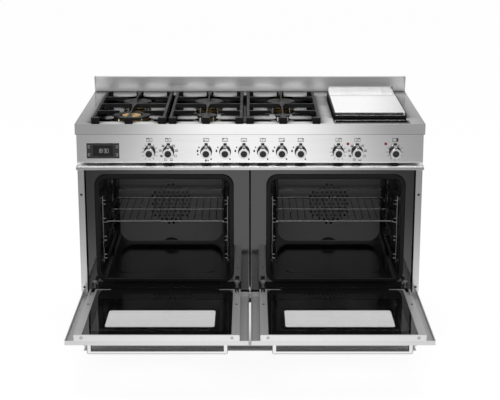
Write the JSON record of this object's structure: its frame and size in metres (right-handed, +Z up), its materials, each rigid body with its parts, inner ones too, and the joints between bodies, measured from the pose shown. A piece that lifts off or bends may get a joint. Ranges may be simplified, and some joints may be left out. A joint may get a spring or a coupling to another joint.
{
  "type": "range cooker",
  "caption": "Wide stainless range cooker with gas hob, griddle, knob panel and twin ovens with drop-down doors.",
  "frame": {"origin": "on the floor, at the middle of the footprint with both doors open", "axes": "+X to the right seen from the front, +Y to the back, +Z up"},
  "size_m": [1.2, 1.088, 0.898],
  "materials": {
    "steel": "brushed",
    "galvanised": "galvanised",
    "polished_steel": "polished",
    "chrome": "polished",
    "enamel": "gloss enamel",
    "gasket": "satin",
    "cast_iron": "matt enamel",
    "brass": "satin",
    "inner_glass": "gloss",
    "window_glass": "gloss",
    "display": "gloss",
    "lamp": "gloss",
    "element": "satin",
    "foot": "matt"
  },
  "bodies": {
    "cooker": {"side_panels": "steel", "base_pan": "steel", "kick_panel": "steel", "front_pillars": "steel", "control_panel": "steel", "hob_top": "steel", "backguard": "steel", "griddle_cover": "steel", "rear_panel": "galvanised", "hinge_brackets": "galvanised", "valve_bodies": "galvanised", "vent_rail": "polished_steel", "ladder_racks_left": "chrome", "ladder_racks_right": "chrome", "oven_face_left": "enamel", "oven_face_right": "enamel", "oven_liner_left": "enamel", "oven_liner_right": "enamel", "fan_cover_left": "enamel", "fan_cover_right": "enamel", "grease_tray": "enamel", "oven_gasket_left": "gasket", "oven_gasket_right": "gasket", "pan_support_left": "cast_iron", "pan_support_centre": "cast_iron", "pan_support_right": "cast_iron", "griddle_body": "cast_iron", "burner_caps": "cast_iron", "burner_bases": "brass", "rear_inlets": "brass", "clock_display": "display", "pilot_lamps": "lamp", "grill_element_left": "element", "grill_element_right": "element", "feet": "foot"},
    "left_door": {"door_outer_panel_left": "steel", "door_inner_frame_left": "steel", "door_inner_glass_left": "inner_glass", "door_window_left": "window_glass", "door_handle_left": "polished_steel"},
    "right_door": {"door_outer_panel_right": "steel", "door_inner_frame_right": "steel", "door_inner_glass_right": "inner_glass", "door_window_right": "window_glass", "door_handle_right": "polished_steel"},
    "left_rack": {"oven_rack_left": "chrome"},
    "right_rack": {"oven_rack_right": "chrome"},
    "left_fan": {"fan_left": "element"},
    "right_fan": {"fan_right": "element"},
    "knob_left_function": {"knob_left_function": "chrome"},
    "knob_left_thermostat": {"knob_left_thermostat": "chrome"},
    "knob_gas_1": {"knob_gas_1": "chrome"},
    "knob_gas_2": {"knob_gas_2": "chrome"},
    "knob_gas_3": {"knob_gas_3": "chrome"},
    "knob_gas_4": {"knob_gas_4": "chrome"},
    "knob_gas_5": {"knob_gas_5": "chrome"},
    "knob_gas_6": {"knob_gas_6": "chrome"},
    "knob_right_function": {"knob_right_function": "chrome"},
    "knob_right_thermostat": {"knob_right_thermostat": "chrome"},
    "knob_griddle": {"knob_griddle": "chrome"}
  },
  "joints": [
    {"name": "left_door_hinge", "type": "hinge", "parent": "cooker", "child": "left_door", "pos_m": [-0.3015, -0.079, 0.211], "axis": [-1, 0, 0], "range_deg": [0, 90]},
    {"name": "left_rack_slide", "type": "slide", "parent": "cooker", "child": "left_rack", "axis": [0, 1, 0], "range_m": [-0.3, 0]},
    {"name": "left_fan_spin", "type": "hinge", "parent": "cooker", "child": "left_fan", "pos_m": [-0.3015, 0.37, 0.437], "axis": [0, -1, 0], "continuous": true},
    {"name": "right_door_hinge", "type": "hinge", "parent": "cooker", "child": "right_door", "pos_m": [0.3015, -0.079, 0.211], "axis": [-1, 0, 0], "range_deg": [0, 90]},
    {"name": "right_rack_slide", "type": "slide", "parent": "cooker", "child": "right_rack", "axis": [0, 1, 0], "range_m": [-0.3, 0]},
    {"name": "right_fan_spin", "type": "hinge", "parent": "cooker", "child": "right_fan", "pos_m": [0.3015, 0.37, 0.437], "axis": [0, -1, 0], "continuous": true},
    {"name": "left_function_turn", "type": "hinge", "parent": "cooker", "child": "knob_left_function", "pos_m": [-0.348, -0.07, 0.734], "axis": [0, -1, 0], "range_deg": [-270, 0]},
    {"name": "left_thermostat_turn", "type": "hinge", "parent": "cooker", "child": "knob_left_thermostat", "pos_m": [-0.2826, -0.07, 0.734], "axis": [0, -1, 0], "range_deg": [-270, 0]},
    {"name": "gas_1_turn", "type": "hinge", "parent": "cooker", "child": "knob_gas_1", "pos_m": [-0.1518, -0.07, 0.734], "axis": [0, -1, 0], "range_deg": [0, 210]},
    {"name": "gas_2_turn", "type": "hinge", "parent": "cooker", "child": "knob_gas_2", "pos_m": [-0.0864, -0.07, 0.734], "axis": [0, -1, 0], "range_deg": [0, 210]},
    {"name": "gas_3_turn", "type": "hinge", "parent": "cooker", "child": "knob_gas_3", "pos_m": [-0.021, -0.07, 0.734], "axis": [0, -1, 0], "range_deg": [0, 210]},
    {"name": "gas_4_turn", "type": "hinge", "parent": "cooker", "child": "knob_gas_4", "pos_m": [0.0444, -0.07, 0.734], "axis": [0, -1, 0], "range_deg": [0, 210]},
    {"name": "gas_5_turn", "type": "hinge", "parent": "cooker", "child": "knob_gas_5", "pos_m": [0.1098, -0.07, 0.734], "axis": [0, -1, 0], "range_deg": [0, 210]},
    {"name": "gas_6_turn", "type": "hinge", "parent": "cooker", "child": "knob_gas_6", "pos_m": [0.1752, -0.07, 0.734], "axis": [0, -1, 0], "range_deg": [0, 210]},
    {"name": "right_function_turn", "type": "hinge", "parent": "cooker", "child": "knob_right_function", "pos_m": [0.306, -0.07, 0.734], "axis": [0, -1, 0], "range_deg": [-270, 0]},
    {"name": "right_thermostat_turn", "type": "hinge", "parent": "cooker", "child": "knob_right_thermostat", "pos_m": [0.3714, -0.07, 0.734], "axis": [0, -1, 0], "range_deg": [-270, 0]},
    {"name": "griddle_turn", "type": "hinge", "parent": "cooker", "child": "knob_griddle", "pos_m": [0.5022, -0.07, 0.734], "axis": [0, -1, 0], "range_deg": [-270, 0]}
  ]
}
